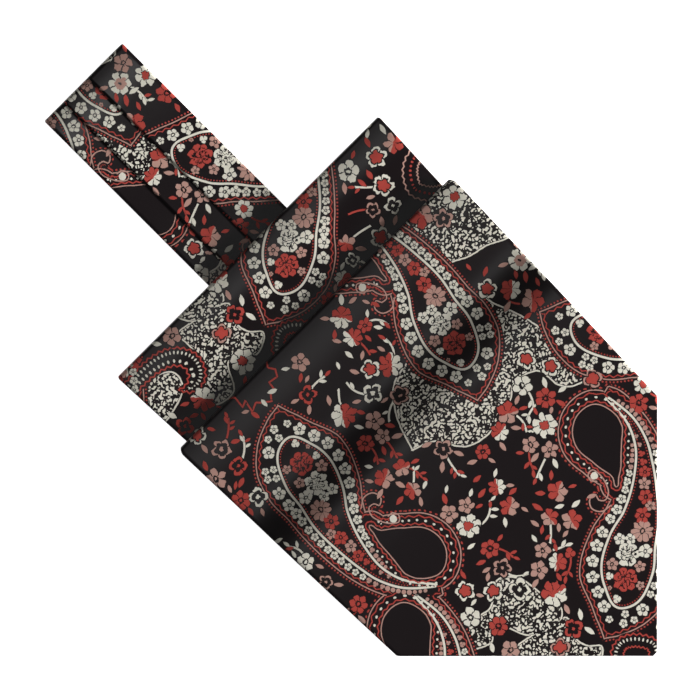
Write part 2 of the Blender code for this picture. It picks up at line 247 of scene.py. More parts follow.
def nearest(line, points, closed=True):
    """Signed distance from points to a line, length along it, and how both change from place to place."""
    a = line if closed else line[:-1]
    seg = (np.roll(line, -1, axis=0) if closed else line[1:]) - a
    size = np.linalg.norm(seg, axis=1)
    walk = np.concatenate([[0.0], np.cumsum(size)[:-1]])
    turn = np.arctan2(seg[:, 1], seg[:, 0])
    bend = (np.roll(turn, -2) - np.roll(turn, 2) + np.pi) % (2.0 * np.pi) - np.pi
    bend = np.clip(bend / (4.0 * size.mean()), -0.4, 0.4)
    hand = 1.0 if not closed or np.sum(a[:, 0] * seg[:, 1] - a[:, 1] * seg[:, 0]) > 0.0 else -1.0
    parts = []
    for block in np.array_split(points, len(points) // 3000 + 1):
        rel = block[:, None] - a[None]
        t = np.clip(np.einsum("psk,sk->ps", rel, seg) / size ** 2, 0.0, 1.0)
        foot = rel - t[:, :, None] * seg[None]
        far = np.linalg.norm(foot, axis=2)
        j = far.argmin(axis=1)
        row = np.arange(len(block))
        unit = seg[j] / size[j, None]
        normal = np.stack([unit[:, 1], -unit[:, 0]], axis=1) * hand
        if closed:
            y, x = block[:, 1:2], block[:, 0:1]
            over = (a[:, 1] > y) != (a[:, 1] + seg[:, 1] > y)
            cut = a[:, 0] + (y - a[:, 1]) * seg[:, 0] / np.where(seg[:, 1] == 0.0, 1e-12, seg[:, 1])
            sign = np.where((over & (x < cut)).sum(axis=1) % 2 == 1, -1.0, 1.0)
        else:
            sign = np.where(np.einsum("pk,pk->p", foot[row, j], normal) < 0.0, -1.0, 1.0)
        near = far[row, j]
        away = sign[:, None] * foot[row, j] / np.maximum(near, 1e-9)[:, None]
        grow = np.where(near[:, None] > 1e-6, away, normal)
        curl = bend[j] * hand
        stretch = 1.0 / np.clip(1.0 + curl * sign * near, 0.4, 3.0)
        parts.append((sign * near, walk[j] + t[row, j] * size[j], grow, unit * stretch[:, None]))
    return [np.concatenate(column) for column in zip(*parts)]


def garland():
    """Blossoms between a boteh's two lines: place, size and kind."""
    room, _, _, _ = nearest(BOTEH_EDGE, BOTEH_LINE)
    _, _, outward, _ = nearest(BOTEH_LINE, BOTEH_LINE + 1e-5)
    drop, _, _, _ = nearest(DROP_EDGE, BOTEH_LINE)
    rows, gone = [], [0.0, 0.9]
    for i in range(len(BOTEH_LINE)):
        free = min(-room[i], drop[i]) - 2.3
        lanes = 2 if free > 6.6 else 1
        radius = min(max(0.5 * free / lanes - 0.1, 0.75), 2.6)
        before, after = BOTEH_LINE[i - 1], BOTEH_LINE[(i + 1) % len(BOTEH_LINE)]
        along = (after - before) / np.linalg.norm(after - before)
        side = np.array([along[1], -along[0]])
        side *= 1.0 if side @ outward[i] > 0.0 else -1.0
        for lane in (0, 1):
            gone[lane] += 0.7 * (1.0 + 0.3 * lane)
            if lane < lanes and gone[lane] >= 2.0 * radius + 0.1 and free > 1.0:
                x, y = BOTEH_LINE[i] + side * (0.6 + free * (lane + 0.5) / lanes)
                kind = "blossom" if radius > 1.25 else "pink bud" if radius > 1.0 else "pink dot"
                rows.append((x, y, radius, kind))
                gone[lane] = 0.0
    return rows


def inside_line(rows):
    """The bouquet with each flower made no larger than the room it has inside the inner line."""
    free, _, _, _ = nearest(BOTEH_LINE, np.array([row[:2] for row in rows]))
    return [(x, y, float(np.clip(-gap - 0.9, 0.9, r)), kind) for (x, y, r, kind), gap in zip(rows, free)]


GARLAND = garland()
BOUQUET = inside_line(BOUQUET)
print("blossoms in one garland:", len(GARLAND))

# %% [markdown]
# ## Laying out the design
# The boteh is placed a few times, turned each way, as a designer does so that the cloth has no top or
# bottom. Flowers are scattered between. The places are millimetres on the cloth: first across the blade,
# then from the neckband's end. Speckled grounds fill some of the gaps, drawn as closed smooth patches.

# %% Where the motifs lie
BOTEHS = ((-36.5, 147.7, 0.0), (21.6, 203.4, 180.0), (-10.0, 307.0, -138.0), (64.3, 196.0, -50.0),
          (-120.5, 309.0, -138.0))
COMBS = (outline(((-75, 287.5, 2.8), (-63, 286.5, 3.3), (-53, 287, 3.6), (-45.5, 290, 3.8), (-41.8, 296, 3.8),
                  (-44, 302, 3.6), (-49, 303.5, 2.6), (-53.5, 301, 0)), False),
         outline(((-7, 311, 0), (-7, 317, 9.2), (-7, 322.5, 11.5), (-7, 328, 9.2), (-7, 334, 0)), True),
         outline(((80, 299, 0), (80, 305, 9.5), (80, 311, 12), (80, 317, 9.5), (80, 323, 0)), True))
PATCHES = (((54, 120), (80, 120), (82, 163), (67, 161), (57, 158), (50, 150)),
           ((-11, 199), (-6, 185), (2, 175), (14, 172), (48, 168), (54, 181), (58, 192), (60, 203), (61, 226),
            (54, 227), (49, 222), (47, 212), (37, 209), (30, 213), (16, 216), (5, 213), (-2, 203)),
           ((-54, 271), (-46, 263), (-34, 266), (-24, 260), (-17, 266), (-15, 278), (-14, 287), (-22, 290),
            (-31, 284), (-37, 270), (-43, 276)),
           ((-38, 284), (-28, 286), (-15, 290), (-18, 298), (-17, 304), (-13, 309), (-21, 313), (-31, 307),
            (-38, 317), (-48, 315), (-50, 306), (-41, 303), (-38, 295)),
           ((-72, 294), (-60, 290), (-51, 293), (-50, 299), (-56, 304), (-72, 306)))
FLOWERS = (
    (-68, 133, 3.9, "cream edged"), (-65, 144, 4.1, "pink line"), (-65, 153.5, 3.9, "red line"),
    (-75, 151, 4.5, "pink flower"), (-68, 168, 4.1, "cream line"), (-74, 164, 4.0, "red flower"),
    (-18, 141.5, 3.9, "pink flower"), (-25, 153, 3.9, "red line"), (-20.5, 169, 5.2, "fan"),
    (0, 163.5, 4.1, "cream edged"), (-6, 171, 4.2, "cream line"), (7, 168, 4.9, "fan"),
    (-13.5, 179.5, 4.0, "pink flower"), (1, 179.5, 4.1, "pink line"), (-15.5, 186.5, 3.3, "pink flower"),
    (-22.5, 183.5, 3.7, "red flower"), (-27, 199, 4.0, "tulip"), (-19, 201, 3.6, "tulip"),
    (-2, 207.5, 4.0, "pink line"), (6.5, 140.5, 4.6, "fan"), (4, 149.5, 3.9, "fan"),
    (11, 149.5, 3.0, "red flower"),
    (-22.5, 210.5, 3.6, "tulip"), (-18.5, 227.5, 3.8, "pink flower"), (-11.5, 230, 3.4, "pink flower"),
    (-16.5, 236.5, 4.9, "cream flower"), (2.5, 233.5, 3.6, "fan"), (0.5, 242.5, 4.1, "tulip"),
    (-17, 249, 3.9, "red flower"), (-70, 227.5, 3.7, "red flower"), (-73, 200.5, 3.6, "blossom"),
    (-73, 212, 3.1, "pink line"), (8.5, 219.5, 3.2, "red flower"), (19, 218.5, 3.7, "fan"),
    (26.5, 215.5, 4.6, "tulip"), (38.5, 212, 4.1, "blossom"), (47, 205.5, 4.1, "cream edged"),
    (52, 214.5, 4.1, "cream edged"), (41.5, 222, 4.2, "red flower"), (60.5, 230, 4.0, "pink edged"),
    (24, 231, 3.6, "pink flower"), (33.5, 229.5, 4.9, "cream flower"), (28, 238, 3.5, "pink flower"),
    (58, 134.5, 5.0, "tulip"), (63.5, 141.5, 4.0, "pink line"), (73, 138.5, 5.0, "cream flower"),
    (56, 174, 4.2, "cream edged"), (73.5, 175, 4.6, "pale flower"), (62.5, 181, 4.2, "fan"),
    (66, 190.5, 4.8, "tulip"), (-36, 254, 4.1, "cream edged"), (-28, 262, 4.1, "cream edged"),
    (-19, 258, 3.9, "pink line"), (-42, 263, 4.1, "blossom"), (9, 257, 3.7, "tulip"),
    (18.5, 252, 4.2, "tulip"),
    (-2.5, 264.5, 3.4, "pink flower"), (-9, 269, 3.7, "pink flower"), (14.5, 264, 4.2, "tulip"),
    (-1.5, 272, 3.9, "fan"), (4.5, 273, 2.2, "red bud"), (-36.5, 273.5, 4.1, "red flower"),
    (-11.5, 280, 5.4, "fan"), (-20, 269, 4.4, "cream line"), (-16, 295.5, 4.1, "red line"),
    (-25, 297, 4.0, "pink edged"), (66.5, 250, 4.0, "red flower"), (73, 246, 3.9, "cream flower"),
    (-40, 283.5, 4.0, "pink flower"), (-49, 310.5, 5.0, "fan"), (-27, 311, 5.2, "cream flower"),
    (57, 287, 4.5, "blossom"), (69, 291, 4.5, "cream edged"), (63, 301, 4.5, "cream edged"),
    (78, 292, 4.2, "tulip"), (53, 305, 3.2, "pink line"), (60, 309.5, 3.6, "cream line"),
    (47.5, 315, 4.4, "cream edged"), (36, 307, 3.6, "tulip"), (33, 313.5, 3.0, "cream line"),
    (25, 316, 3.4, "fan"), (15, 318, 3.2, "red flower"), (80, 170, 4.0, "pink flower"),
    (83, 180, 4.6, "cream flower"), (84, 191, 4.4, "red flower"), (-66, 278, 4.2, "tulip"),
    (-58, 279, 3.8, "red flower"), (-74, 314, 4.0, "tulip"), (-62, 313, 3.8, "red line"),
    (70, 266, 3.8, "pink flower"), (76, 276, 4.2, "cream edged"), (-32, 121, 4.0, "red flower"),
    (-12, 122, 4.2, "cream edged"), (-2, 110, 4.0, "tulip"), (-44, 108, 4.2, "pink flower"),
    (-60, 118, 4.0, "fan"), (-70, 105, 4.0, "cream line"), (66, 108, 4.2, "red flower"))

# %% [markdown]
# Leaves and stems are set by rule round every loose flower: a few pointed leaves that fan out from it,
# and on some a curved stem. A fixed seed keeps the same design on every run. A leaf that would touch a
# boteh or another motif is left out, as a designer keeps the ground clear round each one.


# %% Turn and collect the motifs
def turned(points, place):
    """Points of the boteh's own drawing, turned and moved to its place on the cloth."""
    x, y, degrees = place
    c, s = math.cos(math.radians(degrees)), math.sin(math.radians(degrees))
    points = np.atleast_2d(points)
    return np.array([x, y]) + points @ np.array([[c, s], [-s, c]])


EDGES, INNER_LINES, DROPS, HOOKS = ([turned(line, place) for place in BOTEHS]
                                    for line in (BOTEH_EDGE, BOTEH_LINE, DROP_EDGE, HOOK))
GROUNDS = [spaced(smooth_line(tuple(rows) + rows[:1], 160), 0.9) for rows in PATCHES]
DROP_BORDER = 5.7
PLAIN_PLACES = ((-13, 139, 9), (-38, 133, 6), (-14, 158, 5), (43, 301, 11), (35, 296, 9), (-52, 168, 5))


def clear_of_botehs(x, y, margin):
    """True where a point lies at least a margin outside every boteh, drop and comb."""
    point = np.array([[x, y]])
    lines = EDGES + DROPS + list(COMBS)
    rooms = [margin] * len(EDGES) + [margin + DROP_BORDER - 1.0] * len(DROPS) + [margin] * len(COMBS)
    near = [room for line, room in zip(lines, rooms) if np.abs(line - point).max(axis=1).min() < 14.0
            and nearest(line, point)[0][0] < room]
    inside = [line for line in EDGES if nearest(line, point)[0][0] < 0.0]
    return not near and not inside


def scatter_leaves():
    """Leaves and stems round the loose flowers, and single leaves in the gaps that are left."""
    dice = np.random.default_rng(41)
    motifs = [(x, y, r, kind, dice.uniform(0.0, 360.0)) for x, y, r, kind in FLOWERS]
    stems = []
    kinds = ("red leaf", "red leaf", "pink leaf", "pink leaf", "cream leaf")

    def near_motif(x, y):
        """Room from a place to the nearest motif's edge. A leaf is slim, so it counts as smaller."""
        return min(math.hypot(x - m[0], y - m[1]) - m[2] * (0.6 if "leaf" in m[3] else 1.0) for m in motifs)

    def try_leaf(x, y, size, angle, kind):
        """Adds a leaf to the motifs where it has room and touches no boteh, patch or plain place."""
        plain = any(math.hypot(x - px, y - py) < pr for px, py, pr in PLAIN_PLACES)
        in_ground = any(nearest(g, np.array([[x, y]]))[0][0] < 0.5 for g in GROUNDS)
        room = near_motif(x, y) > 0.68 * size
        if room and not plain and not in_ground and clear_of_botehs(x, y, 1.9 + 0.6 * size):
            motifs.append((x, y, size, kind, math.degrees(angle)))

    for x, y, r, kind in FLOWERS:
        lead = dice.uniform(0.0, 2.0 * math.pi)
        for turn in range(5 if dice.uniform() < 0.7 else 0):
            lead += 1.3
            bow, colour = dice.uniform(-0.7, 0.7), dice.uniform() < 0.5
            walk = np.linspace(0.9 * r, r + dice.uniform(5.0, 8.5), 5)
            angles = lead + bow * (walk - r) / 7.0
            line = [(x + d * math.cos(a), y + d * math.sin(a)) for d, a in zip(walk, angles)]
            clear = all(clear_of_botehs(*point, 2.2) and near_motif(*point) > 0.3 for point in line[2:])
            if clear and all(nearest(g, np.array([line[-1]]))[0][0] > 0.8 for g in GROUNDS):
                stems.append((spaced(smooth_line(line, 40), 0.6, closed=False), colour))
                for step, hand in ((2, 1.0), (3, -1.0), (3, 1.0), (4, -1.0), (4, 0.0)):
                    angle, size = lead + bow + 0.75 * hand, dice.uniform(1.35, 1.8)
                    reach = size + 0.35
                    try_leaf(line[step][0] + reach * math.cos(angle), line[step][1] + reach * math.sin(angle),
                             size, angle, "cream leaf" if colour and dice.uniform() < 0.6 else "red leaf")
                break
        for k in range(4):
            angle = lead + (k + 0.5) * math.pi / 2.0 + dice.uniform(-0.3, 0.3)
            size = dice.uniform(1.7, 2.5)
            d = r + size * dice.uniform(0.95, 1.4)
            try_leaf(x + d * math.cos(angle), y + d * math.sin(angle), size, angle + dice.uniform(-0.7, 0.7),
                     kinds[dice.integers(5)])
    for _ in range(380):
        x, y = dice.uniform(-80.0, 84.0), dice.uniform(126.0, 328.0)
        size = dice.uniform(1.6, 2.3)
        if near_motif(x, y) > 2.6:
            try_leaf(x, y, size, dice.uniform(0.0, 2.0 * math.pi), kinds[dice.integers(5)])
    return motifs, stems


LOOSE, STEMS = scatter_leaves()
MOTIFS = list(LOOSE)
for place in BOTEHS:
    rows = list(BOUQUET) + GARLAND + [(0.6, 65.4, 1.5, "cream dot")]
    for (x, y), (_, _, r, kind) in zip(turned(np.array([row[:2] for row in rows]), place), rows):
        MOTIFS.append((x, y, r, kind, place[2] + 37.0 * r))
print("motifs in the design:", len(MOTIFS), "stems:", len(STEMS))

# %% [markdown]
# ## From the design to the cloth
# The mesh of a cloth piece has cells of about a millimetre, coarser than the print's lines. So the mesh
# doesn't hold the picture itself. Each corner of a cell holds how far it lies from the nearest line and
# how far along that line, and where it lies inside the nearest flower. These change evenly across a cell,
# so the material can draw sharp edges, dots and zigzags from them at any size.

# %% What each kind of flower looks like
INK = {"ground": 0.0, "cream": 1.0, "red": 2.0, "pink": 3.0}
# petals, depth of the notches, core, ring, then the ink of core, ring and petals, the step of ink on one
# half, and veins
KINDS = {
    "pink flower": (5, 0.34, 0.15, 0.33, 3, 0, 3, 0, 0), "red flower": (6, 0.26, 0.15, 0.35, 2, 0, 2, 0, 0),
    "blossom": (5, 0.24, 0.17, 0.36, 1, 0, 1, 0, 0), "pink daisy": (9, 0.26, 0.14, 0.28, 3, 0, 3, 0, 0),
    "red rose": (7, 0.16, 0.0, 0.0, 2, 2, 2, 0, 1), "cream rose": (6, 0.18, 0.0, 0.0, 1, 1, 1, 0, 1),
    "cream edged": (5, 0.30, 0.58, 0.74, 2, 0, 1, 0, 0), "pink edged": (4, 0.32, 0.66, 0.80, 2, 0, 3, 0, 0),
    "pink line": (5, 0.34, 0.20, 0.74, 3, 0, 3, 0, 0), "red line": (4, 0.36, 0.18, 0.66, 2, 0, 2, 0, 0),
    "cream line": (4, 0.36, 0.20, 0.70, 1, 0, 1, 0, 0), "fan": (7, 0.26, 0.0, 0.0, 2, 2, 2, -1, 0),
    "tulip": (5, 0.34, 0.0, 0.0, 2, 2, 2, 1, 0), "cream flower": (7, 0.26, 0.40, 0.46, 2, 0, 1, 0, 0),
    "pale flower": (6, 0.20, 0.14, 0.55, 0, 3, 1, 0, 0), "red bud": (3, 0.35, 0.0, 0.0, 2, 2, 2, 0, 0),
    "pink bud": (3, 0.25, 0.0, 0.0, 3, 3, 3, 0, 0), "cream bud": (3, 0.25, 0.0, 0.0, 1, 1, 1, 0, 0),
    "pink dot": (0, 0.0, 0.0, 0.0, 3, 3, 3, 0, 0), "cream dot": (0, 0.0, 0.0, 0.0, 1, 1, 1, 0, 0),
    "red leaf": (2, 0.50, 0.0, 0.0, 2, 2, 2, 0, 0), "pink leaf": (2, 0.50, 0.0, 0.0, 3, 3, 3, 0, 0),
    "cream leaf": (2, 0.50, 0.0, 0.0, 1, 1, 1, 0, 0)}
LEAF_SLIMNESS = 0.42
NOWHERE = 90.0
RED_ZIGZAG, PINK_HOOK, CREAM_STEM, RED_STEM = 1.0, 2.0, 3.0, 4.0
TORN_LEAF = spaced(np.array((
    (-50.0, 124), (-49, 131), (-46.5, 133), (-47, 138), (-44.5, 137), (-45.5, 142), (-42, 140.5),
    (-40, 142.5), (-37.2, 144.5), (-34.6, 141.5), (-33, 141.8), (-32.4, 138.5), (-28.5, 139.2),
    (-27, 136.5), (-28.6, 134), (-26, 129), (-27, 122))), 0.5, closed=False)
STROKES = ([(TORN_LEAF, RED_ZIGZAG)] + [(line, PINK_HOOK) for line in HOOKS]
           + [(line, CREAM_STEM if cream else RED_STEM) for line, cream in STEMS])


# %% Distances from the design's lines
def fresh(count):
    """A field with no line near it yet: distance, length along, the change of both, and a mark."""
    return [np.full(count, NOWHERE)] + [np.zeros(shape) for shape in (count, (count, 2), (count, 2), count)]


def offer(field, line, points, shift=0.0, mark=0.0, closed=True, reach=9.0):
    """Keeps a line's values wherever it is nearer than what the field holds already."""
    low, high = line.min(axis=0) - reach, line.max(axis=0) + reach
    chosen = np.flatnonzero(((points > low) & (points < high)).all(axis=1))
    if not len(chosen):
        return
    far, along, grow, slide = nearest(line, points[chosen], closed)
    far = far - shift
    key = far if closed else np.abs(far)
    held = field[0][chosen] if closed else np.abs(field[0][chosen])
    better = key < held
    keep = chosen[better]
    for slot, value in zip(field, (far, along, grow, slide)):
        slot[keep] = value[better]
    field[4][keep] = mark


def at_corners(field, corners, centres):
    """Distance and length along at each cell's corners, from the cell's centre and the change there."""
    step = corners - centres[:, None]
    return (field[0][:, None] + np.einsum("pck,pk->pc", step, field[2]),
            field[1][:, None] + np.einsum("pck,pk->pc", step, field[3]))


def nearest_motifs(centres):
    """Numbers of the two motifs that each cell lies deepest in, or closest to."""
    table = np.array([row[:3] for row in MOTIFS])
    slim = np.array([LEAF_SLIMNESS if "leaf" in row[3] else 1.0 for row in MOTIFS])
    angle = np.radians([row[4] for row in MOTIFS])
    picks = []
    for block in np.array_split(centres, len(centres) // 4000 + 1):
        rel = block[:, None] - table[None, :, :2]
        x = (rel[:, :, 0] * np.cos(angle) + rel[:, :, 1] * np.sin(angle)) / table[:, 2]
        y = (rel[:, :, 1] * np.cos(angle) - rel[:, :, 0] * np.sin(angle)) / (table[:, 2] * slim)
        picks.append(np.argsort(x * x + y * y, axis=1)[:, :2])
    return np.concatenate(picks), table, slim, angle


def print_values(corners):
    """All values that the print needs, for cells given by their corners on the design in millimetres."""
    centres = corners.mean(axis=1)
    edge, inner, drop, stroke, patch = fields = [fresh(len(centres)) for _ in range(5)]
    for line in EDGES:
        offer(edge, line, centres)
    for line in DROPS:
        offer(edge, line, centres, shift=DROP_BORDER)
        offer(drop, line, centres)
    for line, mark in zip(COMBS, (1.0, 1.0, 2.0)):
        offer(drop, line, centres, mark=mark)
    for line in INNER_LINES:
        offer(inner, line, centres)
    for line, mark in STROKES:
        offer(stroke, line, centres, mark=mark, closed=False, reach=4.0)
    for line in GROUNDS:
        offer(patch, line, centres, reach=4.0)
    far, along = zip(*(at_corners(field, corners, centres) for field in fields))
    none = np.zeros_like(far[0])
    made = {"boteh": (far[0], along[0], far[1]), "drop": (far[2], along[2], along[1]),
            "stroke": (far[3], along[3], far[4]),
            "marks": (none + drop[4][:, None], none + stroke[4][:, None], none)}
    picks, table, slim, angle = nearest_motifs(centres)
    shapes = np.array([KINDS[row[3]] for row in MOTIFS], dtype=float)[:, (0, 1, 2, 3, 7, 8, 4, 5, 6)]
    for name, k in (("near", picks[:, 0]), ("next", picks[:, 1])):
        rel = corners - table[k, None, :2]
        c, s = np.cos(angle[k])[:, None], np.sin(angle[k])[:, None]
        size = table[k, 2][:, None]
        made[name + " place"] = ((rel[:, :, 0] * c + rel[:, :, 1] * s) / size,
                                 (rel[:, :, 1] * c - rel[:, :, 0] * s) / (size * slim[k, None]), none)
        for part, first in (("petals", 0), ("rings", 3), ("inks", 6)):
            made[name + " " + part] = [none + shapes[k, first + column, None] for column in range(3)]
    return {key: np.stack(values, axis=2) for key, values in made.items()}


# %% [markdown]
# ## Cloth strips
# A strip of cloth is a flat closed ring carried along a line: the upper face, a rounded side edge, the
# lower face and the other edge. It could be a plane with Solidify, but a ring keeps the rounded edges and
# lets the blades run out to a point. The cloth isn't quite flat, so a low smooth swell is added.


# %% Surface builder
def swell(x, s):
    """Low uneven swell of pressed cloth: three long waves that cross each other, in metres."""
    return 0.09 * MM * (1.0 + 0.45 * np.sin(x / (9.1 * MM) + 0.6 * np.sin(s / (17.0 * MM)))
                        + 0.35 * np.sin(s / (11.3 * MM) + 1.3 + 0.8 * np.sin(x / (23.0 * MM)))
                        + 0.20 * np.sin((x + 1.7 * s) / (13.7 * MM) + 0.4))


def shell_object(name, points, design):
    """Closed shell from a grid of rings. design holds each cell's corners on the print, in millimetres."""
    rows, ring = points.shape[:2]
    index = np.arange(rows * ring).reshape(rows, ring)
    following = np.roll(index, -1, axis=1)
    cells = np.stack([index[:-1], following[:-1], following[1:], index[1:]], axis=2).reshape(-1, 4)
    flat = points.reshape(-1, 3)
    a, b, c, d = (flat[cells[:, k]] for k in range(4))
    volume = np.einsum("pk,pk->", a, np.cross(b, c)) + np.einsum("pk,pk->", a, np.cross(c, d))
    corners = design.reshape(-1, 4, 2)
    first, last = index[0][::-1], index[-1]
    if volume < 0.0:
        cells, corners = cells[:, ::-1], corners[:, ::-1]
        first, last = first[::-1], last[::-1]
    mesh = bpy.data.meshes.new(name)
    mesh.from_pydata(flat.tolist(), [], cells.tolist() + [first.tolist(), last.tolist()])
    # the two end caps come last, and lie far from every line of the print
    for key, value in print_values(corners).items():
        at_caps = NOWHERE if key in ("boteh", "drop", "stroke", "near place", "next place") else 0.0
        value = np.concatenate([value.reshape(-1, 3), np.full((2 * ring, 3), at_caps)])
        layer = mesh.attributes.new(key, "FLOAT_VECTOR", "CORNER")
        layer.data.foreach_set("vector", value.astype(np.float32).ravel())
    cloth = mesh.uv_layers.new(name="cloth")
    places = np.concatenate([corners.reshape(-1, 2), np.zeros((2 * ring, 2))]) * MM
    cloth.data.foreach_set("uv", places.ravel())
    mesh.polygons.foreach_set("use_smooth", [True] * len(cells) + [False, False])
    mesh.update()
    piece = bpy.data.objects.new(name, mesh)
    bpy.context.scene.collection.objects.link(piece)
    print(name, "triangles:", 2 * len(cells) + 2 * ring)
    return piece


def cell_corners(x, following, y):
    """Place on the cloth of each cell's four corners, from each point's x, the next point's x and each
    ring's y."""
    y = np.repeat(y[:, None], x.shape[1], axis=1)
    return (np.stack([x[:-1], following[:-1], following[1:], x[1:]], axis=2),
            np.stack([y[:-1], y[:-1], y[1:], y[1:]], axis=2))


def corner_trim(distance, edge, radius):
    """How much a rounded corner narrows the cloth close to a fold's edge."""
    d = np.clip(distance - edge, 0.0, radius)
    return radius - np.sqrt(np.maximum(radius ** 2 - (radius - d) ** 2, 0.0))


def strip(name, line, wall, half, across, lift, shift, reference):
    """Cloth ring along a line. lift raises the upper face, and shift moves each cell on to the design."""
    along = np.gradient(line, axis=0)
    along /= np.linalg.norm(along, axis=1)[:, None]
    normal = np.stack([-along[:, 1], along[:, 0]], axis=1)
    flat = (half - wall / 2.0)[:, None]
    bow = np.linspace(math.pi / 2.0, -math.pi / 2.0, 6)[1:-1]
    upper = across[None] * flat
    right = flat + wall / 2.0 * np.cos(bow)[None]
    x = np.hstack([upper, right, upper[:, ::-1], -right])
    raised = lift(upper, line[:, :1], normal[:, 1:])
    rounded = wall / 2.0 * np.sin(bow)[None] * np.ones_like(flat)
    out = np.hstack([wall / 2.0 + raised, rounded + raised[:, -1:], -wall / 2.0 + 0.0 * upper,
                     -rounded + raised[:, :1] * (rounded < 0.0)])
    points = np.stack([x, station(line[:, :1] + normal[:, :1] * out), line[:, 1:] + normal[:, 1:] * out],
                      axis=2)
    # the print is laid out along the cloth's outer face, and meets the design at the reference
    outer = line + normal * wall / 2.0
    walk = np.concatenate([[0.0], np.cumsum(np.linalg.norm(np.diff(outer, axis=0), axis=1))])
    first = int(outer[:, 0].argmin())
    walk += reference - np.interp(reference, outer[first:, 0], walk[first:])
    turned_edge = flat + (wall / 2.0 * (math.pi / 2.0 - bow))[None]
    print_x = np.hstack([upper, turned_edge, upper[:, ::-1], -turned_edge[:, ::-1]])
    corner_x, corner_y = cell_corners(print_x, np.roll(print_x, -1, axis=1), walk)
    move_x, move_y = shift(corner_x.mean(axis=2, keepdims=True))
    return shell_object(name, points, np.stack([corner_x + move_x, corner_y + move_y], axis=3) / MM)


# %% [markdown]
# ## Blades
# Each blade is cut wide and sewn to a flat tube with a right-angled point. The lower ends of the blades lie
# one on the other. The print runs along the cloth, so it bends over each fold as on the real scarf.

# %% Front and rear blades
CELL, FINE_CELL = 1.1 * MM, 0.7 * MM
# distance along the scarf where each piece's print meets the same distance in the design
FRONT_MEETS, REAR_MEETS, BAND_MEETS = 151.0 * MM, 113.0 * MM, 20.0 * MM
# the front blade covers the rear one from here on, and the swell fades out over a short way
COVERED_FROM, COVERED_FADE = 118.0 * MM, 8.0 * MM


def runs(*pieces):
    """Distances at a cell's step over several stretches, each with its own step."""
    parts = [np.linspace(a, b, max(int(abs(b - a) / step), 1) + 1)[:-1] for a, b, step in pieces]
    return np.concatenate(parts + [[pieces[-1][1]]])


def upper_steps(first, end, *further):
    """Distances along an upper run: fine cells next to the fold, usual ones to the end, then any further."""
    return runs((first + 0.4 * MM, first + 4.0 * MM, FINE_CELL), (first + 4.0 * MM, end, CELL), *further)


def blade_half(line, widths, fold, corner, point):
    """Half width along a blade: slow taper, rounded corner at the fold, 45 degrees in to the point."""
    full = table_value(widths, line[:, 0]) - corner_trim(line[:, 0], fold, corner)
    return np.minimum(full, point - line[:, 0])


def blade_lift(x, s, up):
    """Swell on upward faces only."""
    return swell(x, s) * np.clip((up - 0.5) / 0.4, 0.0, 1.0)


def rear_lift(x, s, up):
    """Swell where the rear blade shows, none under the front blade."""
    return blade_lift(x, s, up) * (1.0 - np.clip((s - COVERED_FROM) / COVERED_FADE, 0.0, 1.0))


def front_shift(middle):
    """The design is laid out on the front blade, so nothing moves."""
    return 0.0, 0.0


def rear_shift(middle):
    """The rear blade shows the stretch of the design round the third boteh."""
    return 7.0 * MM, 186.0 * MM


front_tuck_s = runs((FRONT_TUCK_END, FRONT_FOLD + 8.0 * MM, 4.0 * MM),
                    (FRONT_FOLD + 8.0 * MM, FRONT_FOLD + 2.6 * MM, CELL))
front_tuck_z = np.maximum(rear_top(front_tuck_s) + GAP * 1.1, FRONT_BOTTOM) + BLADE_WALL / 2.0
front_first = fold_start(FRONT_FOLD, FRONT_BOTTOM, BLADE_WALL, FOLD_RADIUS, FOLD_RISE)[0]
front_line = np.vstack([np.stack([front_tuck_s, front_tuck_z], axis=1),
                        fold_arc(FRONT_FOLD, FRONT_BOTTOM, BLADE_WALL, FOLD_RADIUS, FOLD_RISE),
                        below(front_top, BLADE_WALL / 2.0, upper_steps(front_first, LENGTH))])
front_half = blade_half(front_line, FRONT_WIDTHS, FRONT_FOLD, FRONT_CORNER, FRONT_POINT)
across = np.linspace(-1.0, 1.0, 139)
front = strip("front_blade_cloth", front_line, BLADE_WALL, front_half, across, blade_lift, front_shift,
              FRONT_MEETS)

rear_tuck_s = runs((REAR_TUCK_END, REAR_FOLD + 24.0 * MM, 6.0 * MM),
                   (REAR_FOLD + 24.0 * MM, REAR_FOLD + 3.0 * MM, CELL))
rear_tuck_z = np.full(len(rear_tuck_s), REAR_BOTTOM + BLADE_WALL / 2.0)
rear_first = fold_start(REAR_FOLD, REAR_BOTTOM, BLADE_WALL, FOLD_RADIUS, FOLD_RISE)[0]
rear_near = below(rear_top, BLADE_WALL / 2.0,
                  upper_steps(rear_first, 140.0 * MM, (140.0 * MM, STEP_END, 3.0 * MM)))
rear_inside = below(front_top, 1.5 * BLADE_WALL + GAP, runs((210.0 * MM, REAR_TIP, 2.5 * MM)))
rear_line = np.vstack([np.stack([rear_tuck_s, rear_tuck_z], axis=1),
                       fold_arc(REAR_FOLD, REAR_BOTTOM, BLADE_WALL, FOLD_RADIUS, FOLD_RISE),
                       rear_near, rear_inside])
rear_half = blade_half(rear_line, REAR_WIDTHS, REAR_FOLD, REAR_CORNER, REAR_POINT)
rear = strip("rear_blade_cloth", rear_line, BLADE_WALL, rear_half, across, rear_lift, rear_shift, REAR_MEETS)

# %% [markdown]
# ## Neckband
# The neckband is the same cloth laid in lengthwise pleats, each panel lapping over the one before. Where a
# pleat hides some cloth the print jumps, so each panel takes its own part of the design. Two columns of the
# mesh stand close together at each pleat edge to make the step.

# %% Neckband
PANEL_SHIFTS = ((-20.2 * MM, 175.0 * MM), (26.1 * MM, 171.7 * MM), (63.3 * MM, 164.0 * MM))
STEP_WIDTH = 0.16 * MM
# pleats of pressed satin hardly stand up, so they show half as high as the solid's
PLEAT_SHARE = 0.5


